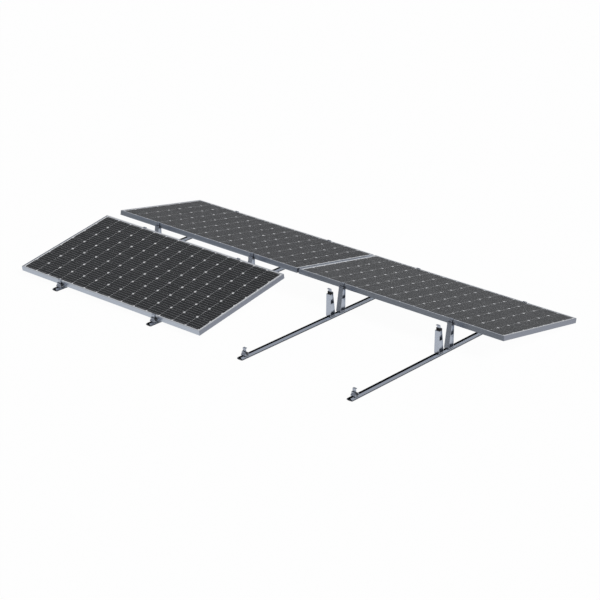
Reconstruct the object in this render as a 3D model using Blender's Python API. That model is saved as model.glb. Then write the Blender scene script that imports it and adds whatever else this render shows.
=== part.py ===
"""East-west ballasted roof mount: two bays of base rails that carry three framed solar modules.

Metres, +Z up. X runs along a module's long side and Y along the rails. The origin lies on the
roof, below the middle of the two bays, and the ridge between the modules is above Y = 0.
"""

import math

import bmesh
import bpy
from mathutils import Matrix

# Whole mount
TILT = math.radians(10)
SEAT_RISE = 0.015
RIDGE_GAP = 0.150
BAY_GAP = 0.018
SEAT_GAP = 0.0003
CUT_OVERRUN = 0.001
ARC_STEPS = 3

# Module frame, laminate and junction box
MODULE_LENGTH = 2.000
MODULE_WIDTH = 1.000
FRAME_HEIGHT = 0.040
FRAME_WALL = 0.002
FRAME_LIP = 0.011
FRAME_CHAMBER = 0.009
FRAME_FLANGE = 0.030
FRAME_EDGE = 0.0008
HOLE_LENGTH = 0.014
HOLE_WIDTH = 0.009
HOLE_FROM_CORNER = 0.250
HOLE_SPACING = 0.400
HOLE_STEPS = 4
LAMINATE_THICKNESS = 0.0046
LAMINATE_EDGE_ROOM = 0.001
KEY_LENGTH = 0.055
KEY_COLLAR = 0.030
KEY_BITE = 0.0005
BOX_LENGTH = 0.120
BOX_WIDTH = 0.095
BOX_DEPTH = 0.016
BOX_LID_DEPTH = 0.006
BOX_LID_MARGIN = 0.005
BOX_FROM_EDGE = 0.060
BOX_EDGE = 0.002

# Base rail and the rubber strip below it
RAIL_WIDTH = 0.053
RAIL_HEIGHT = 0.021
RAIL_SIDE = 0.0095
RAIL_SLOT = 0.020
RAIL_LIP_WIDTH = 0.0025
RAIL_LIP = 0.0018
RAIL_WALL = 0.0022
RAIL_EDGE = 0.001
RAIL_OVERHANG = 0.0645
RAIL_INSET = 0.4525
RAIL_SPACING = 1.0615
STRIP_WIDTH = 0.036
STRIP_THICKNESS = 0.005
STRIP_PROUD = 0.002

# Slotted lug beside each seat, the clamp in its slot and the set screw that holds the clamp
LUG_CLEARANCE = 0.0008
LUG_FACE_WALL = 0.0022
LUG_SCREW_WALL = 0.0070
LUG_HEIGHT = 0.015
LUG_FLOOR = 0.003
LUG_EDGE = 0.0008
CLAMP_LENGTH = 0.031
CLAMP_GRIP = 0.010
CLAMP_PLATE = 0.0035
CLAMP_LEG = 0.004
CLAMP_EDGE = 0.0008
CLAMP_BEND = 0.002
GROOVE_DEPTH = 0.0004
GROOVE_WIDTH = 0.0012
GROOVE_PITCH = 0.0030
GROOVE_COUNT = 6
GROOVE_FROM_LUG = 0.002
SCREW_DIAMETER = 0.006
SCREW_BELOW_TOP = 0.005
SCREW_RECESS = 0.0005
SCREW_SOCKET_FLATS = 0.003
SCREW_SOCKET_DEPTH = 0.0025
SCREW_SIDES = 12

# Post and foot extrusions
BRACKET_WIDTH = 0.044
BRACKET_BASE = 0.0035
BRACKET_PLATE = 0.003
BRACKET_WALL = 0.0025
BRACKET_EDGE = 0.0012
CHAMBER_EDGE = 0.002
POST_SEAT = 0.017
POST_BASE_DEPTH = 0.061
POST_LOWER_CHAMBER = 0.100
POST_WEB = 0.003
FOOT_TOE = 0.028
FOOT_HEEL = 0.016
FOOT_SLOPE_HEIGHT = 0.006

# Screw that draws a slot nut up under the rail's lips
STUD_DIAMETER = 0.008
HEAD_FLATS = 0.013
HEAD_HEIGHT = 0.005
NUT_LENGTH = 0.020
NUT_WIDTH = 0.036
NUT_SIDE = 0.003
NUT_DROP = 0.0005

# Places that follow from the sizes
RAIL_TOP = STRIP_PROUD + RAIL_HEIGHT
LOW_EDGE_Y = -RIDGE_GAP / 2 - MODULE_WIDTH * math.cos(TILT)
LOW_EDGE_Z = RAIL_TOP + SEAT_RISE
RIDGE_EDGE_Y = -RIDGE_GAP / 2
RIDGE_EDGE_Z = LOW_EDGE_Z + MODULE_WIDTH * math.sin(TILT)
RAIL_LENGTH = 2 * (RAIL_OVERHANG - LOW_EDGE_Y)
BAY_STEP = MODULE_LENGTH + BAY_GAP
FIRST_BAY_X = -MODULE_LENGTH - BAY_GAP / 2
SLOT_START = LUG_CLEARANCE + LUG_FACE_WALL
SLOT_END = SLOT_START + CLAMP_LEG + 2 * SEAT_GAP
LUG_END = SLOT_END + LUG_SCREW_WALL
SCREW_UP = LUG_HEIGHT - SCREW_BELOW_TOP
LEDGE_HEIGHT = FRAME_HEIGHT - FRAME_WALL - LAMINATE_THICKNESS - 2 * SEAT_GAP
BRACKET_FLOOR = SEAT_GAP + BRACKET_BASE


def clear_scene():
    for obj in list(bpy.data.objects):
        bpy.data.objects.remove(obj, do_unlink=True)


def material(name, colour, metallic, roughness):
    made = bpy.data.materials.new(name)
    made.use_nodes = True
    shader = made.node_tree.nodes["Principled BSDF"]
    shader.inputs["Base Color"].default_value = (*colour, 1)
    shader.inputs["Metallic"].default_value = metallic
    shader.inputs["Roughness"].default_value = roughness
    return made


def outline(corners):
    """Closed outline through corners given as (a, b, radius), each radius turned into an arc."""
    points = []
    count = len(corners)
    for index, (a, b, radius) in enumerate(corners):
        if not radius:
            points.append((a, b))
            continue
        before = corners[index - 1]
        after = corners[(index + 1) % count]
        back = (before[0] - a, before[1] - b)
        ahead = (after[0] - a, after[1] - b)
        back_length = math.hypot(*back)
        ahead_length = math.hypot(*ahead)
        cosine = (back[0] * ahead[0] + back[1] * ahead[1]) / (back_length * ahead_length)
        half = math.acos(max(-1, min(1, cosine))) / 2
        reach = min(radius / math.tan(half), back_length / 2, ahead_length / 2)
        start = (a + back[0] * reach / back_length, b + back[1] * reach / back_length)
        end = (a + ahead[0] * reach / ahead_length, b + ahead[1] * reach / ahead_length)
        for step in range(ARC_STEPS + 1):
            t = step / ARC_STEPS
            weight = (1 - t) ** 2, 2 * t * (1 - t), t**2
            points.append(tuple(weight[0] * s + weight[1] * c + weight[2] * e
                                for s, c, e in zip(start, (a, b), end)))
    return points


def crossing(first, second):
    """Where two lines meet in a section, each given by two points."""
    (a1, b1), (a2, b2) = first
    (a3, b3), (a4, b4) = second
    run1, rise1 = a2 - a1, b2 - b1
    run2, rise2 = a4 - a3, b4 - b3
    along = ((a3 - a1) * rise2 - (b3 - b1) * run2) / (run1 * rise2 - rise1 * run2)
    return a1 + along * run1, b1 + along * rise1


def shifted(line, distance):
    """A line moved sideways, to the left of its direction."""
    (a1, b1), (a2, b2) = line
    length = math.hypot(a2 - a1, b2 - b1)
    da = -(b2 - b1) / length * distance
    db = (a2 - a1) / length * distance
    return (a1 + da, b1 + db), (a2 + da, b2 + db)


def section_mesh(name, loops, start, end):
    """Solid whose section, an outer loop and any chambers, runs from start(a, b) to end(a, b)."""
    made = bmesh.new()
    near_edges = []
    far_edges = []
    for loop in loops:
        near = [made.verts.new(start(a, b)) for a, b in loop]
        far = [made.verts.new(end(a, b)) for a, b in loop]
        for i, j in zip(range(len(loop)), [*range(1, len(loop)), 0]):
            made.faces.new((near[i], near[j], far[j], far[i]))
        near_edges += [made.edges.get((near[i - 1], near[i])) for i in range(len(loop))]
        far_edges += [made.edges.get((far[i - 1], far[i])) for i in range(len(loop))]
    bmesh.ops.triangle_fill(made, use_beauty=True, edges=near_edges)
    bmesh.ops.triangle_fill(made, use_beauty=True, edges=far_edges)
    bmesh.ops.recalc_face_normals(made, faces=made.faces)
    mesh = bpy.data.meshes.new(name)
    made.to_mesh(mesh)
    made.free()
    return mesh


def box_mesh(name, low, high):
    return section_mesh(
        name,
        [[(low[0], low[1]), (high[0], low[1]), (high[0], high[1]), (low[0], high[1])]],
        lambda a, b: (a, b, low[2]),
        lambda a, b: (a, b, high[2]),
    )


def ring(sides, across, centre):
    """Points of a regular polygon: across is the distance over its flats."""
    radius = across / 2 / math.cos(math.pi / sides)
    turns = [2 * math.pi * step / sides for step in range(sides)]
    return [
        (centre[0] + radius * math.cos(turn), centre[1] + radius * math.sin(turn))
        for turn in turns
    ]


def prism_mesh(name, sides, across, low, high, centre=(0, 0)):
    """Upright prism or cylinder between two heights."""
    loops = [ring(sides, across, centre)]
    return section_mesh(name, loops, lambda a, b: (a, b, low), lambda a, b: (a, b, high))


def combined(name, base, tools, operation="UNION"):
    """One mesh from a base and the shapes that are joined to it or cut from it."""
    body = bpy.data.objects.new(name, base)
    bpy.context.collection.objects.link(body)
    helpers = [body]
    for tool in tools:
        helper = bpy.data.objects.new(name + "_tool", tool)
        bpy.context.collection.objects.link(helper)
        helper.hide_render = True
        helper.display_type = "WIRE"
        helpers.append(helper)
        modifier = body.modifiers.new(operation.title(), "BOOLEAN")
        modifier.operation = operation
        modifier.object = helper
    bpy.context.view_layer.update()
    graph = bpy.context.evaluated_depsgraph_get()
    mesh = bpy.data.meshes.new_from_object(body.evaluated_get(graph))
    for helper in helpers:
        bpy.data.objects.remove(helper, do_unlink=True)
    mesh.name = name
    return mesh


def place(name, mesh, finish, parent, matrix=None):
    """One sub-part: an object of its own that hangs on the empty of its bay, side or module."""
    if not mesh.materials:
        mesh.materials.append(finish)
        mesh.shade_smooth()
        mesh.set_sharp_from_angle(angle=math.radians(30))
    obj = bpy.data.objects.new(name, mesh)
    bpy.context.collection.objects.link(obj)
    obj.parent = parent
    obj.matrix_local = matrix or Matrix()
    return obj


def empty(name, matrix):
    made = bpy.data.objects.new(name, None)
    bpy.context.collection.objects.link(made)
    made.matrix_world = matrix
    return made


def cradle_point(edge, out, up):
    """Section point near a module edge: out beyond its end face, up from its underside."""
    y, z, side = edge
    return (
        y + side * out * math.cos(TILT) - up * math.sin(TILT),
        z + side * out * math.sin(TILT) + up * math.cos(TILT),
    )


RIDGE_EDGE = (RIDGE_EDGE_Y, RIDGE_EDGE_Z, 1)
LOW_EDGE = (LOW_EDGE_Y, LOW_EDGE_Z, -1)


def lug_corners(edge):
    """Seat end, then the slotted lug that stands beside the module's end face."""
    slot_floor = LUG_FLOOR - SEAT_GAP
    places = (
        (LUG_CLEARANCE, -SEAT_GAP, 0),
        (LUG_CLEARANCE, LUG_HEIGHT, LUG_EDGE),
        (SLOT_START, LUG_HEIGHT, 0),
        (SLOT_START, slot_floor, 0),
        (SLOT_END, slot_floor, 0),
        (SLOT_END, LUG_HEIGHT, 0),
        (LUG_END, LUG_HEIGHT, LUG_EDGE),
    )
    return [(*cradle_point(edge, out, up), radius) for out, up, radius in places]


def screw_bore(edge):
    """Cutter for the hole of the set screw, from the lug's slot out through its thick wall."""
    loops = [ring(SCREW_SIDES, SCREW_DIAMETER + 2 * SEAT_GAP, (0, SCREW_UP))]
    near, far = SLOT_END - CUT_OVERRUN, LUG_END + CUT_OVERRUN
    return section_mesh(
        "bore",
        loops,
        lambda x, up: (x, *cradle_point(edge, near, up)),
        lambda x, up: (x, *cradle_point(edge, far, up)),
    )


def seat_line(edge, depth):
    """The seat's plane in section, or one that lies a depth below it."""
    return (
        cradle_point(edge, 0, -SEAT_GAP - depth),
        cradle_point(edge, LUG_END, -SEAT_GAP - depth),
    )


def upright(y):
    return (y, 0), (y, RAIL_HEIGHT)


def level(z):
    return (0, z), (RAIL_WIDTH, z)


def bracket_mesh(name, outer, chambers, edge, screw_y):
    """A post or foot sawn from its extrusion, with the screw and slot nut that hold it down."""
    half = BRACKET_WIDTH / 2
    loops = [outline(outer), *map(outline, chambers)]
    body = section_mesh(name, loops, lambda y, z: (-half, y, z), lambda y, z: (half, y, z))
    bored = combined(name, body, [screw_bore(edge)], "DIFFERENCE")
    return combined(name, bored, rail_screw(screw_y))


def rail_screw(y):
    """Slot nut, stud and hexagon head, centred on the rail at y."""
    drop = shoulder_run()
    clearance = SEAT_GAP * math.hypot(1, drop)
    top = RAIL_TOP - RAIL_LIP - NUT_DROP
    top_half = RAIL_SLOT / 2 + NUT_DROP * drop - clearance
    side_top = top - (NUT_WIDTH / 2 - top_half) / drop
    nut = [
        (top_half, top),
        (NUT_WIDTH / 2, side_top),
        (NUT_WIDTH / 2, side_top - NUT_SIDE),
        (-NUT_WIDTH / 2, side_top - NUT_SIDE),
        (-NUT_WIDTH / 2, side_top),
        (-top_half, top),
    ]
    near, far = y - NUT_LENGTH / 2, y + NUT_LENGTH / 2
    head_low = RAIL_TOP + BRACKET_FLOOR - CUT_OVERRUN
    head_high = RAIL_TOP + BRACKET_FLOOR + HEAD_HEIGHT
    return [
        section_mesh("nut", [nut], lambda a, b: (a, near, b), lambda a, b: (a, far, b)),
        prism_mesh("stud", 16, STUD_DIAMETER, side_top, head_low + CUT_OVERRUN / 2, (0, y)),
        prism_mesh("head", 6, HEAD_FLATS, head_low, head_high, (0, y)),
    ]


def post_mesh():
    """Tall two-chamber post: plumb outer wall, leaning inner wall, seat and lug on top."""
    outer_y = RIDGE_EDGE_Y - POST_SEAT
    inner_y = outer_y + POST_BASE_DEPTH
    base = RAIL_TOP + SEAT_GAP
    inner_top = cradle_point(RIDGE_EDGE, LUG_END, -SEAT_GAP)
    leaning = ((inner_y, base), inner_top)
    outer = [
        (outer_y, base, BRACKET_EDGE),
        (*crossing(upright(outer_y), seat_line(RIDGE_EDGE, 0)), BRACKET_EDGE),
        *lug_corners(RIDGE_EDGE),
        (*inner_top, 0),
        (inner_y, base, BRACKET_EDGE),
    ]
    floor = RAIL_TOP + BRACKET_FLOOR
    web = floor + POST_LOWER_CHAMBER
    wall = upright(outer_y + BRACKET_WALL)
    lean = shifted(leaning, BRACKET_WALL)
    ceiling = seat_line(RIDGE_EDGE, BRACKET_PLATE)
    chambers = [
        [(*crossing(side, cap), CHAMBER_EDGE) for side, cap in pairs]
        for pairs in (
            ((wall, level(floor)), (lean, level(floor)), (lean, level(web)), (wall, level(web))),
            (
                (wall, level(web + POST_WEB)),
                (lean, level(web + POST_WEB)),
                (lean, ceiling),
                (wall, ceiling),
            ),
        )
    ]
    return bracket_mesh("post", outer, chambers, RIDGE_EDGE, (outer_y + inner_y) / 2)


def foot_mesh():
    """Low foot: sloping toe, lug and short seat round one chamber."""
    toe_y = LOW_EDGE_Y - FOOT_TOE
    heel_y = LOW_EDGE_Y + FOOT_HEEL
    base = RAIL_TOP + SEAT_GAP
    floor = RAIL_TOP + BRACKET_FLOOR
    slope = ((toe_y, floor), cradle_point(LOW_EDGE, LUG_END, FOOT_SLOPE_HEIGHT))
    outer = [
        (heel_y, base, BRACKET_EDGE),
        (*crossing(upright(heel_y), seat_line(LOW_EDGE, 0)), BRACKET_EDGE),
        *lug_corners(LOW_EDGE),
        (*slope[1], 0),
        (*slope[0], 0),
        (toe_y, base, BRACKET_EDGE),
    ]
    wall = upright(heel_y - BRACKET_WALL)
    ceiling = seat_line(LOW_EDGE, BRACKET_PLATE)
    lean = shifted(slope, -BRACKET_WALL)
    pairs = ((wall, level(floor)), (wall, ceiling), (lean, ceiling), (lean, level(floor)))
    chamber = [(*crossing(side, cap), CHAMBER_EDGE) for side, cap in pairs]
    return bracket_mesh("foot", outer, [chamber], LOW_EDGE, (toe_y + heel_y) / 2)


def clamp_mesh():
    """End clamp: a grip over the frame on a grooved leg, which a set screw holds in the slot."""
    leg_in = SLOT_START + SEAT_GAP
    leg_out = leg_in + CLAMP_LEG
    under = FRAME_HEIGHT + SEAT_GAP
    top = under + CLAMP_PLATE
    section = [
        (leg_out, LUG_FLOOR, 0),
        (leg_in, LUG_FLOOR, 0),
        (leg_in, under, 0),
        (-CLAMP_GRIP, under, 0),
        (-CLAMP_GRIP, top, CLAMP_EDGE),
        (leg_out, top, CLAMP_BEND),
    ]
    for number in reversed(range(GROOVE_COUNT)):
        middle = LUG_HEIGHT + GROOVE_FROM_LUG + number * GROOVE_PITCH
        section += [
            (leg_out, middle + GROOVE_WIDTH / 2, 0),
            (leg_out - GROOVE_DEPTH, middle, 0),
            (leg_out, middle - GROOVE_WIDTH / 2, 0),
        ]
    half = CLAMP_LENGTH / 2
    loops = [outline(section)]
    body = section_mesh("clamp", loops, lambda y, z: (-half, y, z), lambda y, z: (half, y, z))
    near, far = leg_out - CUT_OVERRUN, LUG_END - SCREW_RECESS
    screw = section_mesh(
        "set_screw",
        [ring(SCREW_SIDES, SCREW_DIAMETER, (0, SCREW_UP))],
        lambda x, up: (x, near, up),
        lambda x, up: (x, far, up),
    )
    socket = section_mesh(
        "socket",
        [ring(6, SCREW_SOCKET_FLATS, (0, SCREW_UP))],
        lambda x, up: (x, far - SCREW_SOCKET_DEPTH, up),
        lambda x, up: (x, far + CUT_OVERRUN, up),
    )
    return combined("clamp", combined("clamp", body, [screw]), [socket], "DIFFERENCE")


def shoulder_run():
    """Sideways run of the rail's sloping shoulder for each metre that it drops."""
    run = RAIL_WIDTH / 2 - RAIL_SLOT / 2 - RAIL_LIP_WIDTH
    return run / (RAIL_HEIGHT - RAIL_SIDE)


def rail_mesh():
    """Low channel rail: plumb sides, sloping shoulders, lipped slot and a bed for the strip."""
    half = RAIL_WIDTH / 2
    inner = half - RAIL_WALL
    top_half = RAIL_SLOT / 2 + RAIL_LIP_WIDTH
    under = RAIL_TOP - RAIL_LIP
    bed = STRIP_THICKNESS + SEAT_GAP
    bed_half = STRIP_WIDTH / 2 + SEAT_GAP
    floor = bed + RAIL_WALL
    right = [
        (bed_half, bed, 0),
        (bed_half, STRIP_PROUD, 0),
        (half, STRIP_PROUD, RAIL_EDGE),
        (half, STRIP_PROUD + RAIL_SIDE, RAIL_EDGE),
        (top_half, RAIL_TOP, RAIL_EDGE),
        (RAIL_SLOT / 2, RAIL_TOP, 0),
        (RAIL_SLOT / 2, under, 0),
        (inner, under - (inner - RAIL_SLOT / 2) / shoulder_run(), RAIL_EDGE),
        (inner, floor, RAIL_EDGE),
    ]
    left = [(-x, z, radius) for x, z, radius in reversed(right)]
    end = RAIL_LENGTH / 2
    return section_mesh(
        "rail",
        [outline(right + left)],
        lambda x, z: (x, -end, z),
        lambda x, z: (x, end, z),
    )


def strip_mesh():
    """Rubber strip pressed into the rail's bed, on which the whole mount stands."""
    half = STRIP_WIDTH / 2
    end = RAIL_LENGTH / 2
    return box_mesh("strip", (-half, -end, 0), (half, end, STRIP_THICKNESS))


def frame_loops():
    """Module frame section as (inward, up): outer loop with lip and flange, then the chamber."""
    chamber_end = FRAME_WALL + FRAME_CHAMBER
    outer = outline([
        (0, 0, FRAME_EDGE),
        (FRAME_FLANGE, 0, 0),
        (FRAME_FLANGE, FRAME_WALL, 0),
        (chamber_end + FRAME_WALL, FRAME_WALL, 0),
        (chamber_end + FRAME_WALL, LEDGE_HEIGHT, 0),
        (FRAME_WALL, LEDGE_HEIGHT, 0),
        (FRAME_WALL, FRAME_HEIGHT - FRAME_WALL, 0),
        (FRAME_LIP, FRAME_HEIGHT - FRAME_WALL, 0),
        (FRAME_LIP, FRAME_HEIGHT, 0),
        (0, FRAME_HEIGHT, FRAME_EDGE),
    ])
    chamber = [
        (FRAME_WALL, FRAME_WALL),
        (chamber_end, FRAME_WALL),
        (chamber_end, LEDGE_HEIGHT - FRAME_WALL),
        (FRAME_WALL, LEDGE_HEIGHT - FRAME_WALL),
    ]
    return [outer, chamber]


def long_frame_mesh():
    """Long frame member with mitred ends, its outer face on y = 0, and holes in its flange."""
    member = section_mesh(
        "long_frame",
        frame_loops(),
        lambda inward, up: (inward + SEAT_GAP, inward, up),
        lambda inward, up: (MODULE_LENGTH - inward - SEAT_GAP, inward, up),
    )
    first = (HOLE_FROM_CORNER, HOLE_FROM_CORNER + HOLE_SPACING)
    middles = [*first, *[MODULE_LENGTH - x for x in first]]
    return combined("long_frame", member, map(flange_hole, middles), "DIFFERENCE")


def flange_hole(middle):
    """Cutter for an oblong fixing hole in the free part of a long member's flange."""
    radius = HOLE_WIDTH / 2
    reach = HOLE_LENGTH / 2 - radius
    inward = (2 * FRAME_WALL + FRAME_CHAMBER + FRAME_FLANGE) / 2
    turns = [math.pi * (step / HOLE_STEPS - 1 / 2) for step in range(HOLE_STEPS + 1)]
    half = [(reach + radius * math.cos(turn), radius * math.sin(turn)) for turn in turns]
    slot = [(middle + a, inward + b) for a, b in half]
    slot += [(middle - a, inward - b) for a, b in half]
    low, high = -CUT_OVERRUN, FRAME_WALL + CUT_OVERRUN
    return section_mesh("hole", [slot], lambda a, b: (a, b, low), lambda a, b: (a, b, high))


def short_frame_mesh():
    """Short frame member with mitred ends, and the corner keys that plug into the long ones."""
    member = section_mesh(
        "short_frame",
        frame_loops(),
        lambda inward, up: (inward, inward + SEAT_GAP, up),
        lambda inward, up: (inward, MODULE_WIDTH - inward - SEAT_GAP, up),
    )
    near = FRAME_WALL + SEAT_GAP
    far = FRAME_WALL + FRAME_CHAMBER - SEAT_GAP
    top = LEDGE_HEIGHT - FRAME_WALL - SEAT_GAP
    collar_start = FRAME_WALL + FRAME_CHAMBER + KEY_LENGTH - KEY_COLLAR
    bite = SEAT_GAP + KEY_BITE
    keys = []
    for turned in (False, True):
        blocks = (
            ((near, near), (near + KEY_LENGTH, far)),
            ((near, near), (far, collar_start + KEY_BITE)),
            ((near - bite, collar_start), (far + bite, collar_start + KEY_COLLAR)),
        )
        for (x1, y1), (x2, y2) in blocks:
            if turned:
                y1, y2 = MODULE_WIDTH - y2, MODULE_WIDTH - y1
            keys.append(box_mesh("key", (x1, y1, near), (x2, y2, top)))
    return combined("short_frame", member, keys)


def laminate_mesh():
    """Glass, cells and backing as one bonded sheet in the frame's groove."""
    edge = FRAME_WALL + LAMINATE_EDGE_ROOM
    low = LEDGE_HEIGHT + SEAT_GAP
    return box_mesh(
        "laminate",
        (edge, edge, low),
        (MODULE_LENGTH - edge, MODULE_WIDTH - edge, low + LAMINATE_THICKNESS),
    )


def junction_box_mesh():
    """Flat box bonded to the back of the laminate, near its high edge."""
    top = LEDGE_HEIGHT
    middle = MODULE_LENGTH / 2
    high_y = MODULE_WIDTH - BOX_FROM_EDGE
    low_y = high_y - BOX_WIDTH
    body = box_mesh(
        "box",
        (middle - BOX_LENGTH / 2, low_y, top - BOX_DEPTH),
        (middle + BOX_LENGTH / 2, high_y, top),
    )
    lid = box_mesh(
        "lid",
        (
            middle - BOX_LENGTH / 2 + BOX_LID_MARGIN,
            low_y + BOX_LID_MARGIN,
            top - BOX_DEPTH - BOX_LID_DEPTH,
        ),
        (
            middle + BOX_LENGTH / 2 - BOX_LID_MARGIN,
            high_y - BOX_LID_MARGIN,
            top - BOX_DEPTH + CUT_OVERRUN,
        ),
    )
    return combined("junction_box", body, [lid])


def round_edges(obj, width):
    bevel = obj.modifiers.new("Edges", "BEVEL")
    bevel.width = width
    bevel.segments = 2
    bevel.limit_method = "ANGLE"


def build_modules(frame_finish, glass_finish, box_finish):
    """Three modules: one in front of the ridge on the first bay, two behind it."""
    long_frame = long_frame_mesh()
    short_frame = short_frame_mesh()
    laminate = laminate_mesh()
    junction_box = junction_box_mesh()
    half_turn = Matrix.Rotation(math.pi, 4, "Z")
    across = Matrix.Translation((MODULE_LENGTH, MODULE_WIDTH, 0)) @ half_turn
    spots = (("front_left", 0, False), ("rear_left", 0, True), ("rear_right", 1, True))
    for name, bay, behind in spots:
        corner = Matrix.Translation((FIRST_BAY_X + bay * BAY_STEP, LOW_EDGE_Y, LOW_EDGE_Z))
        stand = corner @ Matrix.Rotation(TILT, 4, "X")
        if behind:
            middle_x = FIRST_BAY_X + bay * BAY_STEP + MODULE_LENGTH / 2
            turn = Matrix.Translation((middle_x, 0, 0)) @ half_turn
            stand = turn @ Matrix.Translation((-middle_x, 0, 0)) @ stand
        module = empty(name, stand)
        place(name + "_frame_low", long_frame, frame_finish, module)
        place(name + "_frame_high", long_frame, frame_finish, module, across)
        place(name + "_frame_end_a", short_frame, frame_finish, module)
        place(name + "_frame_end_b", short_frame, frame_finish, module, across)
        place(name + "_laminate", laminate, glass_finish, module)
        box = place(name + "_junction_box", junction_box, box_finish, module)
        round_edges(box, BOX_EDGE)


def build_rails(rail_finish, bracket_finish, clamp_finish, rubber_finish):
    """Four rails, each with a foot, two posts, a foot and their clamps."""
    rail = rail_mesh()
    strip = strip_mesh()
    post = post_mesh()
    foot = foot_mesh()
    clamp = clamp_mesh()
    at_ridge = Matrix.Translation((0, RIDGE_EDGE_Y, RIDGE_EDGE_Z)) @ Matrix.Rotation(TILT, 4, "X")
    at_foot = (
        Matrix.Translation((0, LOW_EDGE_Y, LOW_EDGE_Z))
        @ Matrix.Rotation(math.pi, 4, "Z")
        @ Matrix.Rotation(-TILT, 4, "X")
    )
    number = 0
    for bay in range(2):
        for line in range(2):
            number += 1
            x = FIRST_BAY_X + bay * BAY_STEP + RAIL_INSET + line * RAIL_SPACING
            here = Matrix.Translation((x, 0, 0))
            base = empty(f"base_{number}", here)
            place(f"rail_{number}", rail, rail_finish, base)
            place(f"rail_strip_{number}", strip, rubber_finish, base)
            for side, turn in (("front", 0), ("rear", math.pi)):
                stand = empty(f"{side}_{number}", here @ Matrix.Rotation(turn, 4, "Z"))
                place(f"{side}_post_{number}", post, bracket_finish, stand)
                place(f"{side}_foot_{number}", foot, bracket_finish, stand)
                place(f"{side}_ridge_clamp_{number}", clamp, clamp_finish, stand, at_ridge)
                place(f"{side}_foot_clamp_{number}", clamp, clamp_finish, stand, at_foot)


clear_scene()
build_rails(
    material("rail_aluminium", (0.60, 0.61, 0.63), 0.9, 0.42),
    material("bracket_aluminium", (0.62, 0.63, 0.65), 0.9, 0.40),
    material("clamp_aluminium", (0.66, 0.67, 0.69), 0.9, 0.35),
    material("strip_rubber", (0.03, 0.03, 0.03), 0.0, 0.85),
)
build_modules(
    material("frame_aluminium", (0.66, 0.67, 0.70), 0.9, 0.32),
    material("cell_glass", (0.03, 0.04, 0.04), 0.0, 0.12),
    material("box_plastic", (0.02, 0.02, 0.02), 0.0, 0.50),
)
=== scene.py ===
import math

import bmesh
import bpy
from mathutils import Matrix, Vector


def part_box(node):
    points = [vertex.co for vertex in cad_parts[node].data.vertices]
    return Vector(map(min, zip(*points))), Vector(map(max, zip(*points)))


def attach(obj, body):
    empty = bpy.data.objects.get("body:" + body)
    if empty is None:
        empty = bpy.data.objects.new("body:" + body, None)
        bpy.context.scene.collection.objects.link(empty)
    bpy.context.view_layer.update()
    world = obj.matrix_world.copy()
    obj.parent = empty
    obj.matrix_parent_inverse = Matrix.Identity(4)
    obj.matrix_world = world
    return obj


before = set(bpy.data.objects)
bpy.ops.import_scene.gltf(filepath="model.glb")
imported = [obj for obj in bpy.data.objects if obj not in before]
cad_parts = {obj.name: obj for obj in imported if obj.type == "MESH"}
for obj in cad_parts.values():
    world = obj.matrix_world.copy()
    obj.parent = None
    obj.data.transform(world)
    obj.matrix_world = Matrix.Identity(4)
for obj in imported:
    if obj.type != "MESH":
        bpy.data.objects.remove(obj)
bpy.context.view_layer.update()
scene = bpy.context.scene
scene.view_settings.view_transform = "Standard"


# The camera stands high in front of the bare bay, far away behind a long lens, as a
# catalogue picture of a roof mount is taken. It is level but for half a degree.
CAMERA_PLACE = (9.669, -11.241, 6.263)
CAMERA_TURN = math.radians(40.432)
CAMERA_DIP = math.radians(22.887)
CAMERA_ROLL = math.radians(0.488)
CAMERA_SENSOR = 36
CAMERA_LENS = 120.5
CAMERA_SIGHT = 200

camera_data = bpy.data.cameras.new("camera")
camera_data.sensor_width = CAMERA_SENSOR
camera_data.lens = CAMERA_LENS
camera_data.clip_end = CAMERA_SIGHT
camera = bpy.data.objects.new("camera", camera_data)
scene.collection.objects.link(camera)
camera.matrix_world = (
    Matrix.Translation(CAMERA_PLACE)
    @ Matrix.Rotation(CAMERA_TURN, 4, "Z")
    @ Matrix.Rotation(math.pi / 2 - CAMERA_DIP, 4, "X")
    @ Matrix.Rotation(CAMERA_ROLL, 4, "Z")
)
scene.camera = camera


# The base rails are drawn aluminium channel, left as it comes from the mill. The die leaves
# fine lines along the whole length and the saw leaves the two ends rougher. The lips beside
# the slot and the plumb sides are painted dark as shade, and the metal is painted darker
# still where ambient occlusion finds it enclosed.
RAIL_NUMBERS = (1, 2, 3, 4)
RAIL_TONES = ((0.53, 0.575, 0.66), (0.60, 0.65, 0.745))
# Painted shade: the rails' plumb sides are painted dark.
RAIL_SIDE_PAINTED_SHADE = (0.17, 0.185, 0.215)
# Painted shade from ambient occlusion: its reach and the shares of open sky it spans.
RAIL_OCCLUSION_SHADE = (0.05, 0.52, 0.85)
SLOT_LIP_HALF = 0.0127
SLOT_LIP_FROM = 0.0220
# Painted shade: the lips beside each rail's slot are painted dark.
SLOT_LIP_PAINTED_SHADE = (0.15, 0.165, 0.19)
SAWN_TONE = (0.500, 0.540, 0.610)
# Painted shade where ambient occlusion finds the metal enclosed.
PAINTED_SHADE_TONE = (0.05, 0.055, 0.065)
SHADE_RAYS = 8
MILL_METALLIC = 0.95
MILL_ROUGHNESS = 0.18
MILL_RELIEF = 0.00005
DIE_LINES_ACROSS = 700.0
DIE_LINES_ALONG = 3.0
DIE_LINE_SHARE = 0.6
DIE_LINE_ROUGHNESS = 0.05
PATCHES = 9.0
PATCH_ROUGHNESS = 0.08
SPECKS = 420.0
SPECK_SHARE = 0.3
SAW_STROKES = 60.0
SAW_STROKES_UP = 2600.0
SAWN_ROUGHNESS = 0.10
FACING_END = 0.9
FACING_SIDE = 0.95


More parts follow.
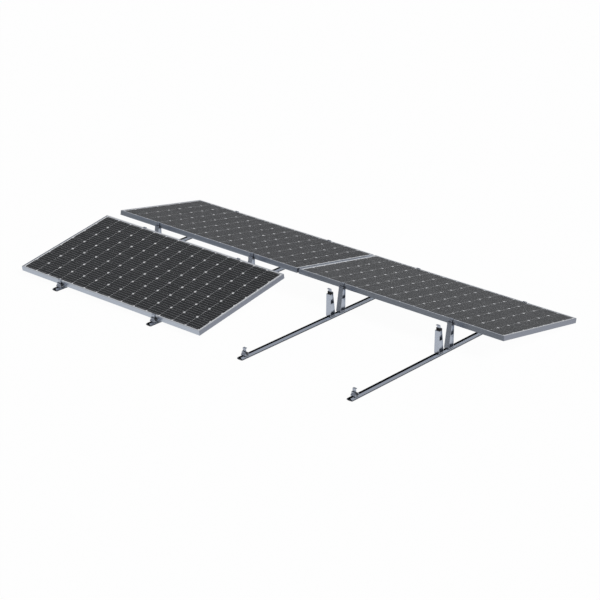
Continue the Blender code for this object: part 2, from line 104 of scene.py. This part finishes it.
class Value:
    """The output of a shader node. Sums on it add Math nodes to its material."""

    def __init__(self, tree, socket):
        self.tree = tree
        self.socket = socket

    def node(self, kind, settings=(), inputs=(), output=0):
        """Adds a node, with its settings made first, and gives one of its outputs."""
        made = self.tree.nodes.new(kind)
        for name, setting in dict(settings).items():
            setattr(made, name, setting)
        for key, value in dict(inputs).items():
            if isinstance(value, Value):
                self.tree.links.new(value.socket, made.inputs[key])
            else:
                made.inputs[key].default_value = value
        return Value(self.tree, made.outputs[output])

    def math(self, operation, first, second=0.0):
        settings = {"operation": operation}
        return self.node("ShaderNodeMath", settings, {0: first, 1: second})

    def __add__(self, other):
        return self.math("ADD", self, other)

    __radd__ = __add__

    def __sub__(self, other):
        return self.math("SUBTRACT", self, other)

    def __rsub__(self, other):
        return self.math("SUBTRACT", other, self)

    def __mul__(self, other):
        return self.math("MULTIPLY", self, other)

    __rmul__ = __mul__

    def __truediv__(self, other):
        return self.math("DIVIDE", self, other)

    def __lt__(self, other):
        return self.math("LESS_THAN", self, other)

    def __gt__(self, other):
        return self.math("GREATER_THAN", self, other)

    def __abs__(self):
        return self.math("ABSOLUTE", self)

    def fraction(self):
        return self.math("FRACT", self)

    def parts(self):
        """The X, Y and Z of a vector."""
        return [self.node("ShaderNodeSeparateXYZ", (), {0: self}, axis) for axis in range(3)]

    def times(self, factors):
        """A vector with each of its parts made longer by a factor of its own."""
        settings = {"operation": "MULTIPLY"}
        return self.node("ShaderNodeVectorMath", settings, {0: self, 1: factors})

    def noise(self, scale=1.0, detail=2.0):
        """Soft noise from 0 to 1 over the vector."""
        inputs = {"Vector": self, "Scale": scale, "Detail": detail}
        return self.node("ShaderNodeTexNoise", {"noise_dimensions": "3D"}, inputs)

    def blend(self, low, high):
        """From one colour to another as the value goes from 0 to 1."""
        low, high = (
            tone if isinstance(tone, Value) else (*tone, 1) for tone in (low, high)
        )
        settings = {"data_type": "RGBA"}
        return self.node("ShaderNodeMix", settings, {0: self, 6: low, 7: high}, 2)

    def bump(self, depth):
        """A surface normal that follows the value as a height of that depth."""
        inputs = {"Strength": 1.0, "Distance": depth, "Height": self}
        return self.node("ShaderNodeBump", (), inputs)


def new_finish(name, constants):
    """An empty finish: its material, its shader, the place and the normal of the surface."""
    finish = bpy.data.materials.new(name)
    finish.use_nodes = True
    shader = finish.node_tree.nodes["Principled BSDF"]
    for socket, constant in constants.items():
        shader.inputs[socket].default_value = constant
    start = Value(finish.node_tree, None)
    place = start.node("ShaderNodeTexCoord", (), (), "Object")
    normal = start.node("ShaderNodeNewGeometry", (), (), "Normal")
    return finish, shader, place, normal


def feed(shader, varying):
    """Links each value that varies over the surface to the socket it is named for."""
    for socket, value in varying.items():
        value.tree.links.new(value.socket, shader.inputs[socket])


def mill_finish(name, along, tones, side_sawn_or_shade_tone, occlusion_shade, marked_or_shaded):
    """Extruded aluminium whose die lines run along an axis and whose ends are sawn.

    The sides that look across the mount have a tone of their own: painted shade on the rails,
    the sawn tone on the brackets. So have the places a mask picks out: painted shade on the
    rails' slot lips, plated steel on the brackets' screw heads. Where ambient occlusion finds
    it enclosed, from one share of open sky to another within a reach, it is painted dark as
    shade.
    """
    finish, shader, place, normal = new_finish(name, {"Metallic": MILL_METALLIC})
    stretch = [DIE_LINES_ACROSS] * 3
    stretch[along] = DIE_LINES_ALONG
    lines = place.times(stretch).noise(detail=3.0)
    patches = place.noise(PATCHES, detail=4.0)
    specks = place.noise(SPECKS)
    strokes = place.times((SAW_STROKES, SAW_STROKES, SAW_STROKES_UP)).noise(detail=1.0)
    sawn = abs(normal.parts()[along]) > FACING_END
    side = abs(normal.parts()[0]) > FACING_SIDE
    drawn = (lines * DIE_LINE_SHARE + patches * (1 - DIE_LINE_SHARE)).blend(*tones)
    # The rails' plumb sides take painted shade here, the brackets' sides the sawn tone.
    metal = side.blend(sawn.blend(drawn, SAWN_TONE), side_sawn_or_shade_tone)
    mask, marked_or_shade_tone = marked_or_shaded
    # Painted shade on the rails' slot lips; plated steel on the brackets' screw heads.
    metal = mask(place).blend(metal, marked_or_shade_tone)
    reach, dark_share, bright_share = occlusion_shade
    settings = {"samples": SHADE_RAYS}
    # Painted shade: ambient occlusion darkens the base colour where the metal is enclosed.
    shade_occlusion = place.node("ShaderNodeAmbientOcclusion", settings, {"Distance": reach}, "AO")
    unshaded_share = shade_occlusion.node("ShaderNodeMapRange", (), {
        "Value": shade_occlusion,
        "From Min": dark_share,
        "From Max": bright_share,
    })
    uneven = patches * PATCH_ROUGHNESS + lines * DIE_LINE_ROUGHNESS
    feed(shader, {
        "Base Color": unshaded_share.blend(PAINTED_SHADE_TONE, metal),
        "Roughness": MILL_ROUGHNESS + uneven + sawn * SAWN_ROUGHNESS,
        "Normal": (lines * (1 - sawn) + strokes * sawn + specks * SPECK_SHARE).bump(MILL_RELIEF),
    })
    return finish


def dress(finish, *nodes):
    """Gives nodes of the source one finish all over."""
    for node in nodes:
        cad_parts[node].data.materials.clear()
        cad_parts[node].data.materials.append(finish)


def nearest(value, middles):
    """How far a value is from the nearest of some others."""
    distance = abs(value - middles[0])
    for middle in middles[1:]:
        distance = distance.math("MINIMUM", distance, abs(value - middle))
    return distance


rail_boxes = [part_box(f"rail_{number}") for number in RAIL_NUMBERS]
rail_middles = [(low.x + high.x) / 2 for low, high in rail_boxes]


def slot_lip_shade_places(place):
    """The flat lips on either side of a rail's slot, where painted shade goes."""
    x, _, z = place.parts()
    return (nearest(x, rail_middles) < SLOT_LIP_HALF) * (z > SLOT_LIP_FROM)


rail_finish = mill_finish(
    "rail_mill_aluminium",
    along=1,
    tones=RAIL_TONES,
    side_sawn_or_shade_tone=RAIL_SIDE_PAINTED_SHADE,
    occlusion_shade=RAIL_OCCLUSION_SHADE,
    marked_or_shaded=(slot_lip_shade_places, SLOT_LIP_PAINTED_SHADE),
)
dress(rail_finish, *[f"rail_{number}" for number in RAIL_NUMBERS])


# Under each rail lies a strip of black rubber that keeps the metal off the roof covering.
# It is moulded from bound granules, so it is dull and slightly rough to the touch.
RUBBER_TONES = ((0.018, 0.018, 0.019), (0.035, 0.035, 0.036))
RUBBER_GRANULES = (650.0, 3.0)
RUBBER_ROUGHNESS = (0.78, 0.96)
RUBBER_RELIEF = 0.0004


def grained_finish(name, metallic, tones, grain, roughness, relief):
    """A finish whose fine grain takes it from one tone and roughness to another.

    The grain is given by its scale and its detail, and stands up by its relief.
    """
    finish, shader, place, _ = new_finish(name, {"Metallic": metallic})
    speckle = place.noise(*grain)
    feed(shader, {
        "Base Color": speckle.blend(*tones),
        "Roughness": roughness[0] + speckle * (roughness[1] - roughness[0]),
        "Normal": speckle.bump(relief),
    })
    return finish


strip_finish = grained_finish(
    "granulate_rubber", 0.0, RUBBER_TONES, RUBBER_GRANULES, RUBBER_ROUGHNESS, RUBBER_RELIEF
)
dress(strip_finish, *[f"rail_strip_{number}" for number in RAIL_NUMBERS])


# The posts and feet are slices of hollow extrusions, 44 mm wide, with die lines across the
# mount and sawn faces at the sides. The screw in each chamber's floor is plated steel.
BRACKET_TONES = ((0.445, 0.485, 0.560), (0.500, 0.540, 0.620))
# Painted shade from ambient occlusion in the chambers and crevices.
BRACKET_OCCLUSION_SHADE = (0.03, 0.42, 0.92)
HEAD_RADIUS = 0.0077
HEAD_FROM = 0.02685
HEAD_TO = 0.0330
HEAD_TONE = (0.26, 0.26, 0.27)
SCREW_LINES = (0.0615, 1.0658)


def rail_screw_heads(place):
    """The hexagon heads on the floors of the chambers."""
    x, y, z = place.parts()
    across = nearest(x, rail_middles)
    along = nearest(abs(y), SCREW_LINES)
    inside = (across * across + along * along) < HEAD_RADIUS ** 2
    return inside * (z > HEAD_FROM) * (z < HEAD_TO)


# The posts and feet carry painted shade in their chambers and crevices.
bracket_finish = mill_finish(
    "bracket_mill_aluminium",
    along=0,
    tones=BRACKET_TONES,
    side_sawn_or_shade_tone=SAWN_TONE,
    occlusion_shade=BRACKET_OCCLUSION_SHADE,
    marked_or_shaded=(rail_screw_heads, HEAD_TONE),
)
for part in ("front_post", "rear_post", "front_foot", "rear_foot"):
    dress(bracket_finish, *[f"{part}_{number}" for number in RAIL_NUMBERS])


# The end clamps are short slices of a small angle extrusion with a grooved leg, sawn off and
# tumbled, and left bare with the finish of the posts.
for part in ("front_ridge", "rear_ridge", "front_foot", "rear_foot"):
    dress(bracket_finish, *[f"{part}_clamp_{number}" for number in RAIL_NUMBERS])


# Where a module stands: each post and foot has the same cradle. In a cradle's own axes X runs
# across the mount, Y points out past the module's end face and Z up from its underside.
TILT = math.radians(10)
MODULE_WIDTH = 1.0
RIDGE_HALF_GAP = 0.075
RAIL_TOP = 0.023
LOW_EDGE_RISE = 0.015
LOW_EDGE = (0, -RIDGE_HALF_GAP - MODULE_WIDTH * math.cos(TILT), RAIL_TOP + LOW_EDGE_RISE)
RIDGE_EDGE = (0, -RIDGE_HALF_GAP, LOW_EDGE[2] + MODULE_WIDTH * math.sin(TILT))

cradles = []
for number, rail_middle in zip(RAIL_NUMBERS, rail_middles):
    for side, turn in (("front", 0), ("rear", math.pi)):
        stand = Matrix.Translation((rail_middle, 0, 0)) @ Matrix.Rotation(turn, 4, "Z")
        ridge = stand @ Matrix.Translation(RIDGE_EDGE) @ Matrix.Rotation(TILT, 4, "X")
        foot = (
            stand
            @ Matrix.Translation(LOW_EDGE)
            @ Matrix.Rotation(math.pi, 4, "Z")
            @ Matrix.Rotation(-TILT, 4, "X")
        )
        cradles.append((f"{side}_ridge_{number}", ridge))
        cradles.append((f"{side}_foot_{number}", foot))


# A set screw in the lug's thick wall grips the clamp's leg. Only its outer end shows, in the
# mouth of the hole: dark plated steel with a hexagon socket and a chamfer.
SCREW_FACE_OUT = 0.0141
SCREW_UP = 0.010
SCREW_PROUD = 0.0002
SCREW_SIDES = 24
SCREW_RADIUS = 0.0031
SCREW_CHAMFER = 0.0005
SCREW_LENGTH = 0.0030
SOCKET_SIDES = 6
SOCKET_ACROSS = 0.0030
SOCKET_RADIUS = SOCKET_ACROSS / 2 / math.cos(math.pi / SOCKET_SIDES)
SOCKET_DEPTH = 0.0022
THREAD_TURNS = 3
THREAD_DEPTH = 0.00015
SHARP_FROM = math.radians(35)
STEEL_TONES = ((0.12, 0.12, 0.13), (0.20, 0.20, 0.21))
STEEL_WEAR = (1500.0, 3.0)
STEEL_ROUGHNESS = (0.30, 0.45)
STEEL_RELIEF = 0.00003


def ring_points(mesh, count, radius, height):
    """Points at equal turns round Z."""
    turns = [2 * math.pi * step / count for step in range(count)]
    return [mesh.verts.new((radius * math.cos(a), radius * math.sin(a), height)) for a in turns]


def bridge(mesh, first, second):
    """A band of faces between two rings of as many points."""
    for i in range(len(first)):
        mesh.faces.new((first[i - 1], first[i], second[i], second[i - 1]))


def finished_mesh(mesh, name, finish):
    """The mesh with its faces turned outward, its finish on and its corners kept sharp."""
    bmesh.ops.recalc_face_normals(mesh, faces=mesh.faces)
    made = bpy.data.meshes.new(name)
    mesh.to_mesh(made)
    mesh.free()
    made.materials.append(finish)
    made.shade_smooth()
    made.set_sharp_from_angle(angle=SHARP_FROM)
    return made


def set_screw_mesh(finish):
    """The screw's outer end along Z, from its threads up to the face with the socket."""
    mesh = bmesh.new()
    thread_height = (SCREW_LENGTH - SCREW_CHAMFER) / THREAD_TURNS
    stations = []
    for turn in range(THREAD_TURNS):
        stations.append((SCREW_RADIUS - THREAD_DEPTH, turn * thread_height))
        stations.append((SCREW_RADIUS, (turn + 0.5) * thread_height))
    stations.append((SCREW_RADIUS - THREAD_DEPTH, SCREW_LENGTH - SCREW_CHAMFER))
    stations.append((SCREW_RADIUS - SCREW_CHAMFER, SCREW_LENGTH))
    rings = [ring_points(mesh, SCREW_SIDES, radius, height) for radius, height in stations]
    for first, second in zip(rings, rings[1:]):
        bridge(mesh, first, second)
    mesh.faces.new(rings[0])
    mouth = ring_points(mesh, SOCKET_SIDES, SOCKET_RADIUS, SCREW_LENGTH)
    bottom = ring_points(mesh, SOCKET_SIDES, SOCKET_RADIUS, SCREW_LENGTH - SOCKET_DEPTH)
    bridge(mesh, mouth, bottom)
    mesh.faces.new(bottom)
    rims = []
    for ring in (rings[-1], mouth):
        rims += [mesh.edges.get((ring[i - 1], ring[i])) for i in range(len(ring))]
    bmesh.ops.triangle_fill(mesh, use_beauty=True, edges=rims)
    return finished_mesh(mesh, "set_screw", finish)


screw_finish = grained_finish(
    "plated_steel", 1.0, STEEL_TONES, STEEL_WEAR, STEEL_ROUGHNESS, STEEL_RELIEF
)
screw_mesh = set_screw_mesh(screw_finish)
outward = Matrix.Rotation(-math.pi / 2, 4, "X")
for name, cradle in cradles:
    screw = bpy.data.objects.new(f"set_screw_{name}", screw_mesh)
    scene.collection.objects.link(screw)
    screw_end = Matrix.Translation((0, SCREW_FACE_OUT + SCREW_PROUD - SCREW_LENGTH, SCREW_UP))
    screw.matrix_world = cradle @ screw_end @ outward
    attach(screw, "root")


# A black rubber shoe keeps the module's frame off the bare metal. A thin flap lies on the
# seat, a ribbed strip stands against the lug, and two cheeks close the ends of its slot.
SHOE_WIDTH = 0.044
FLAP_REACH = 0.0160
FLAP_REACH_FOOT = 0.0135
FLAP_LOW = -0.00028
FLAP_HIGH = -0.00004
STRIP_BACK = 0.00075
STRIP_FACE = 0.00015
STRIP_TOP = 0.0148
STRIP_RIBS = 6
STRIP_RIB_DEPTH = 0.00025
STRIP_RIB_FROM = 0.3
STRIP_RIB_TO = 0.7
CHEEK_THICKNESS = 0.0012
CHEEK_OUT = 0.0146
CHEEK_LOW = -0.0045
CHEEK_TOP = 0.0149
CHEEK_CORNER = 0.0015
SHOE_TONES = ((0.015, 0.015, 0.018), (0.028, 0.028, 0.032))
SHOE_GRAIN = (1400.0, 2.0)
SHOE_ROUGHNESS = (0.62, 0.82)
SHOE_RELIEF = 0.0001


def run_along_x(mesh, profile, start, end):
    """A closed solid whose profile in Y and Z runs from one X to another."""
    sides = []
    for x in (start, end):
        sides.append([mesh.verts.new((x, y, z)) for y, z in profile])
        mesh.faces.new(sides[-1])
    bridge(mesh, *sides)


def shoe_mesh(finish, reach):
    """The flap, the ribbed strip and the two cheeks, in a cradle's own axes."""
    mesh = bmesh.new()
    half = SHOE_WIDTH / 2
    flap = [
        (-reach, FLAP_LOW),
        (-reach, FLAP_HIGH),
        (STRIP_FACE, FLAP_HIGH),
        (STRIP_FACE, FLAP_LOW),
    ]
    run_along_x(mesh, flap, -half, half)
    strip = [(STRIP_BACK, STRIP_TOP), (STRIP_BACK, 0.0)]
    pitch = STRIP_TOP / STRIP_RIBS
    for rib in range(STRIP_RIBS):
        strip.append((STRIP_FACE + STRIP_RIB_DEPTH, rib * pitch))
        strip.append((STRIP_FACE, (rib + STRIP_RIB_FROM) * pitch))
        strip.append((STRIP_FACE, (rib + STRIP_RIB_TO) * pitch))
    strip.append((STRIP_FACE + STRIP_RIB_DEPTH, STRIP_TOP))
    run_along_x(mesh, strip, -half, half)
    cheek = [
        (STRIP_FACE, CHEEK_LOW),
        (CHEEK_OUT - CHEEK_CORNER, CHEEK_LOW),
        (CHEEK_OUT, CHEEK_LOW + CHEEK_CORNER),
        (CHEEK_OUT, CHEEK_TOP - CHEEK_CORNER),
        (CHEEK_OUT - CHEEK_CORNER, CHEEK_TOP),
        (STRIP_FACE, CHEEK_TOP),
    ]
    for side in (-1, 1):
        run_along_x(mesh, cheek, side * half, side * (half + CHEEK_THICKNESS))
    return finished_mesh(mesh, "shoe", finish)


shoe_finish = grained_finish(
    "shoe_rubber", 0.0, SHOE_TONES, SHOE_GRAIN, SHOE_ROUGHNESS, SHOE_RELIEF
)
shoes = {
    "ridge": shoe_mesh(shoe_finish, FLAP_REACH),
    "foot": shoe_mesh(shoe_finish, FLAP_REACH_FOOT),
}
for name, cradle in cradles:
    piece = bpy.data.objects.new(f"rubber_shoe_{name}", shoes[name.split("_")[1]])
    scene.collection.objects.link(piece)
    piece.matrix_world = cradle
    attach(piece, "root")


# Each of the three modules has a silver anodised frame of four mitred members. The lip round
# the glass is painted bright as a highlight, and on the front left module's end_a member it
# is painted dark as shade. The short end members are painted darker as shade. The two members
# that face each other between the rear bays are painted brighter as light, but for their
# corner at the ridge, which is painted dark as shade.
MODULE_LENGTH = 2.0
MODULE_STARTS = {"front_left": -2.009, "rear_left": -2.009, "rear_right": 0.009}
LONG_MEMBER_TONES = ((0.440, 0.480, 0.550), (0.490, 0.535, 0.610))
# Painted shade: the short end members are painted darker than the long ones.
SHORT_MEMBER_PAINTED_SHADE_TONES = ((0.26, 0.28, 0.33), (0.30, 0.32, 0.38))
FACING_MEMBERS = ("rear_left_frame_end_a", "rear_right_frame_end_b")
# Painted light: the two members facing each other between the rear bays are painted brighter.
FACING_MEMBER_PAINTED_LIGHT_TONES = ((0.60, 0.64, 0.70), (0.66, 0.70, 0.76))
FACING_CORNER_FROM = 0.965
# Painted shade: their corner at the ridge is painted dark.
FACING_CORNER_PAINTED_SHADE = (0.14, 0.15, 0.18)
LIP_FACING_UP = 0.9
# Painted highlight: the up-facing faces of the lips are painted bright.
LIP_PAINTED_HIGHLIGHT = (0.86, 0.89, 0.94)
# Painted shade: the lip of this one member is painted dark.
SHADED_LIP_MEMBER = "front_left_frame_end_a"
LIP_PAINTED_SHADE = (0.30, 0.32, 0.38)
FRAME_METALLIC = 0.95
FRAME_ROUGHNESS = 0.24
FRAME_RELIEF = 0.00002
FRAME_LINES_ACROSS = 520.0
FRAME_LINES_ALONG = 2.0
FRAME_CLOUD = 5.0
FRAME_CLOUD_SHARE = 0.6
FRAME_CLOUD_ROUGHNESS = 0.06
FRAME_ETCH = 2200.0
FRAME_ETCH_ROUGHNESS = 0.05


def module_place(place, stand):
    """The place on a module in its own axes: X along, Y up the slope, Z out of the glass."""
    inputs = {
        "Vector": place,
        "Location": stand.to_translation(),
        "Rotation": stand.to_euler(),
    }
    return place.node("ShaderNodeMapping", {"vector_type": "TEXTURE"}, inputs)


def anodised_finish(member, stand):
    """Silver anodising with faint die lines along a member, with painted light and shade."""
    constants = {"Metallic": FRAME_METALLIC}
    finish, shader, place, normal = new_finish(f"{member}_anodised", constants)
    place = module_place(place, stand)
    at_end = "_end_" in member
    facing = member in FACING_MEMBERS
    stretch = [FRAME_LINES_ACROSS] * 3
    stretch[1 if at_end else 0] = FRAME_LINES_ALONG
    # Painted shade on the short members, painted light on the two facing members.
    tones = SHORT_MEMBER_PAINTED_SHADE_TONES if at_end else LONG_MEMBER_TONES
    # Painted light: the facing members get brighter tones.
    if facing:
        tones = FACING_MEMBER_PAINTED_LIGHT_TONES
    lines = place.times(stretch).noise()
    cloud = place.noise(FRAME_CLOUD, detail=3.0)
    etch = place.noise(FRAME_ETCH, detail=1.0)
    wall = (cloud * FRAME_CLOUD_SHARE + lines * (1 - FRAME_CLOUD_SHARE)).blend(*tones)
    # Painted shade at the ridge corner of the facing members.
    if facing:
        wall = (place.parts()[1] > FACING_CORNER_FROM).blend(wall, FACING_CORNER_PAINTED_SHADE)
    lip = normal.parts()[2] > LIP_FACING_UP
    # The lip is painted as a highlight; on the one listed member it is painted as shade.
    lip_painted_light = LIP_PAINTED_SHADE if member == SHADED_LIP_MEMBER else LIP_PAINTED_HIGHLIGHT
    uneven = cloud * FRAME_CLOUD_ROUGHNESS + etch * FRAME_ETCH_ROUGHNESS
    feed(shader, {
        "Base Color": lip.blend(wall, lip_painted_light),
        "Roughness": FRAME_ROUGHNESS + uneven,
        "Normal": (lines * 0.5 + etch * 0.5).bump(FRAME_RELIEF),
    })
    return finish


stands = {}
half_turn = Matrix.Rotation(math.pi, 4, "Z")
for name, start in MODULE_STARTS.items():
    corner = Matrix.Translation((start, LOW_EDGE[1], LOW_EDGE[2]))
    if name.startswith("rear"):
        end = start + MODULE_LENGTH
        corner = Matrix.Translation((end, -LOW_EDGE[1], LOW_EDGE[2])) @ half_turn
    stands[name] = corner @ Matrix.Rotation(TILT, 4, "X")
    for side in ("low", "high", "end_a", "end_b"):
        member = f"{name}_frame_{side}"
        dress(anodised_finish(member, stands[name]), member)


# In the frame lies a laminate of toughened glass over 14 by 7 dark square cells with cropped
# corners, wired by five flat bars and fine fingers. A white sheet closes it from behind.
CELL_COLUMNS = 14
CELL_ROWS = 7
CELL_PITCH_LONG = 0.13986
CELL_PITCH_SHORT = 0.13832
CELL_GAP_LONG = 0.0013
CELL_GAP_SHORT = 0.0002
CELL_CROP = 0.0112
CELL_TONE = (0.005, 0.006, 0.007)
CELL_TONE_PALE = (0.010, 0.011, 0.013)
CELL_LOT_SHARE = 0.6
CELL_CLOUD = 30.0
BUSBARS = 5
BUSBAR_WIDTH = 0.0018
BUSBAR_TONE = (0.34, 0.35, 0.36)
FINGERS = 70
FINGER_HALF_WIDTH = 0.08
FINGER_SHOW = 0.02
BACKSHEET_TONE = (0.80, 0.81, 0.82)
BACKSHEET_ROUGHNESS = 0.55
GLASS_FACING_UP = 0.3
GLASS_ROUGHNESS = 0.25
GLASS_DUST = 14.0
GLASS_DUST_ROUGHNESS = 0.08
GLASS_RIPPLE = 900.0
GLASS_RELIEF = 0.00002
GLASS_IOR = 1.33
GLASS_GLOSS = {"front_left": 0.50, "rear_left": 0.33, "rear_right": 0.56}


def laminate_finish(name, stand):
    """Cells seen through the glass from above, and the white back sheet from below."""
    finish, shader, place, normal = new_finish(f"{name}_cells", {
        "Metallic": 0.0,
        "IOR": GLASS_IOR,
        "Specular IOR Level": GLASS_GLOSS[name],
    })
    local = module_place(place, stand)
    x, y, _ = local.parts()
    columns = (x - (MODULE_LENGTH - CELL_COLUMNS * CELL_PITCH_LONG) / 2) / CELL_PITCH_LONG
    rows = (y - (MODULE_WIDTH - CELL_ROWS * CELL_PITCH_SHORT) / 2) / CELL_PITCH_SHORT
    inside = (columns > 0) * (columns < CELL_COLUMNS) * (rows > 0) * (rows < CELL_ROWS)
    off_x = abs(columns.fraction() - 0.5) * CELL_PITCH_LONG
    off_y = abs(rows.fraction() - 0.5) * CELL_PITCH_SHORT
    half_x = (CELL_PITCH_LONG - CELL_GAP_LONG) / 2
    half_y = (CELL_PITCH_SHORT - CELL_GAP_SHORT) / 2
    cropped = (off_x + off_y) < half_x + half_y - CELL_CROP
    cell = inside * (off_x < half_x) * (off_y < half_y) * cropped
    bar_place = abs((rows * BUSBARS).fraction() - 0.5) * CELL_PITCH_SHORT / BUSBARS
    bar = bar_place < BUSBAR_WIDTH / 2
    fingers = abs((columns * FINGERS).fraction() - 0.5) < FINGER_HALF_WIDTH
    pick = local.node("ShaderNodeCombineXYZ", (), {
        0: columns.math("FLOOR", columns),
        1: rows.math("FLOOR", rows),
    })
    lot = pick.node("ShaderNodeTexWhiteNoise", {"noise_dimensions": "2D"}, {"Vector": pick})
    cloud = local.noise(CELL_CLOUD, detail=3.0)
    shade = lot * CELL_LOT_SHARE + cloud * (1 - CELL_LOT_SHARE)
    silicon = shade.blend(CELL_TONE, CELL_TONE_PALE)
    wafer = (fingers * FINGER_SHOW).blend(silicon, BUSBAR_TONE)
    front = cell.blend(BACKSHEET_TONE, bar.blend(wafer, BUSBAR_TONE))
    top = normal.parts()[2] > GLASS_FACING_UP
    smoother = top * (BACKSHEET_ROUGHNESS - GLASS_ROUGHNESS)
    dust = local.noise(GLASS_DUST, detail=4.0)
    feed(shader, {
        "Base Color": top.blend(BACKSHEET_TONE, front),
        "Roughness": BACKSHEET_ROUGHNESS - smoother + dust * GLASS_DUST_ROUGHNESS,
        "Normal": local.noise(GLASS_RIPPLE, detail=1.0).bump(GLASS_RELIEF),
    })
    return finish


for name, stand in stands.items():
    dress(laminate_finish(name, stand), f"{name}_laminate")


# Behind each module a flat junction box of moulded black plastic is glued to the back sheet.
# Its skin has a fine spark-eroded grain.
BOX_TONES = ((0.016, 0.016, 0.017), (0.028, 0.028, 0.029))
BOX_GRAIN = (1100.0, 2.0)
BOX_ROUGHNESS = (0.45, 0.65)
BOX_RELIEF = 0.0001

box_finish = grained_finish("box_plastic", 0.0, BOX_TONES, BOX_GRAIN, BOX_ROUGHNESS, BOX_RELIEF)
dress(box_finish, *[f"{name}_junction_box" for name in MODULE_STARTS])


# The mount stands on a plain pale floor that runs out past the picture and keeps a faint
# shadow. Bare metal mirrors it white where it looks down, and dimmer towards the horizon.
FLOOR_REACH = 60
FLOOR_HEIGHT = -0.0002
FLOOR_TONE = (0.95, 0.95, 0.95)
FLOOR_BOUNCE_TONE = (0.85, 0.85, 0.86)
FLOOR_MIRROR_TONE = (0.05, 0.05, 0.05)
FLOOR_GLOW = 0.96
FLOOR_BOUNCE_GLOW = 0.50
MIRROR_GLOW_NEAR = 0.90
MIRROR_GLOW_FAR = 0.16
SHALLOW_FACING = 0.82
STEEP_FACING = 0.66

floor_mesh = bpy.data.meshes.new("floor")
corners = [
    (x * FLOOR_REACH, y * FLOOR_REACH, FLOOR_HEIGHT)
    for x, y in ((-1, -1), (1, -1), (1, 1), (-1, 1))
]
floor_mesh.from_pydata(corners, [], [(0, 1, 2, 3)])
floor = bpy.data.objects.new("floor", floor_mesh)
scene.collection.objects.link(floor)
constants = {"Roughness": 1.0, "Specular IOR Level": 0.0}
floor_finish, shader, place, _ = new_finish("floor_white", constants)


def light_path(start, kind):
    return start.node("ShaderNodeLightPath", (), (), kind)


facing = place.node("ShaderNodeLayerWeight", (), {"Blend": 0.5}, "Facing")
steep = facing.node("ShaderNodeMapRange", (), {
    "Value": facing,
    "From Min": SHALLOW_FACING,
    "From Max": STEEP_FACING,
})
eye = light_path(place, "Is Camera Ray") + light_path(place, "Is Transmission Ray")
mirror = light_path(place, "Is Glossy Ray")
mirror_glow = MIRROR_GLOW_FAR + steep * (MIRROR_GLOW_NEAR - MIRROR_GLOW_FAR)
bounce = light_path(place, "Is Diffuse Ray")
plain = eye.blend(FLOOR_BOUNCE_TONE, FLOOR_TONE)
feed(shader, {"Base Color": mirror.blend(plain, FLOOR_MIRROR_TONE)})
glow = place.node("ShaderNodeEmission", (), {"Color": (1, 1, 1, 1), "Strength": 1.0})
lit = Value(floor_finish.node_tree, shader.outputs[0])
mixed = place.node("ShaderNodeMixShader", (), {
    0: eye * FLOOR_GLOW + mirror * mirror_glow + bounce * FLOOR_BOUNCE_GLOW,
    1: lit,
    2: glow,
})
feed(floor_finish.node_tree.nodes["Material Output"], {"Surface": mixed})
floor_mesh.materials.append(floor_finish)


# Plain studio light: a soft grey surround, dimmer in front than behind, and one broad lamp
# from the right, high up. The sides that face front live on the floor's light.
SURROUND_BEHIND = (0.45, 0.455, 0.47)
SURROUND_IN_FRONT = (0.28, 0.28, 0.29)
LAMP_STRENGTH = 1.8
LAMP_SPREAD = math.radians(30)
LAMP_FROM = (0.70, -0.05, 0.71)

world = bpy.data.worlds.new("studio")
scene.world = world
world.use_nodes = True
surround = world.node_tree.nodes["Background"]
surround.inputs["Strength"].default_value = 1.0
towards = Value(world.node_tree, None).node("ShaderNodeTexCoord", (), (), "Generated")
behind = towards.parts()[1] * 0.5 + 0.5
feed(surround, {"Color": behind.blend(SURROUND_IN_FRONT, SURROUND_BEHIND)})

lamp_data = bpy.data.lights.new("lamp", "SUN")
lamp_data.energy = LAMP_STRENGTH
lamp_data.angle = LAMP_SPREAD
lamp = bpy.data.objects.new("lamp", lamp_data)
scene.collection.objects.link(lamp)
lamp.rotation_mode = "QUATERNION"
lamp.rotation_quaternion = Vector(LAMP_FROM).to_track_quat("Z", "Y")
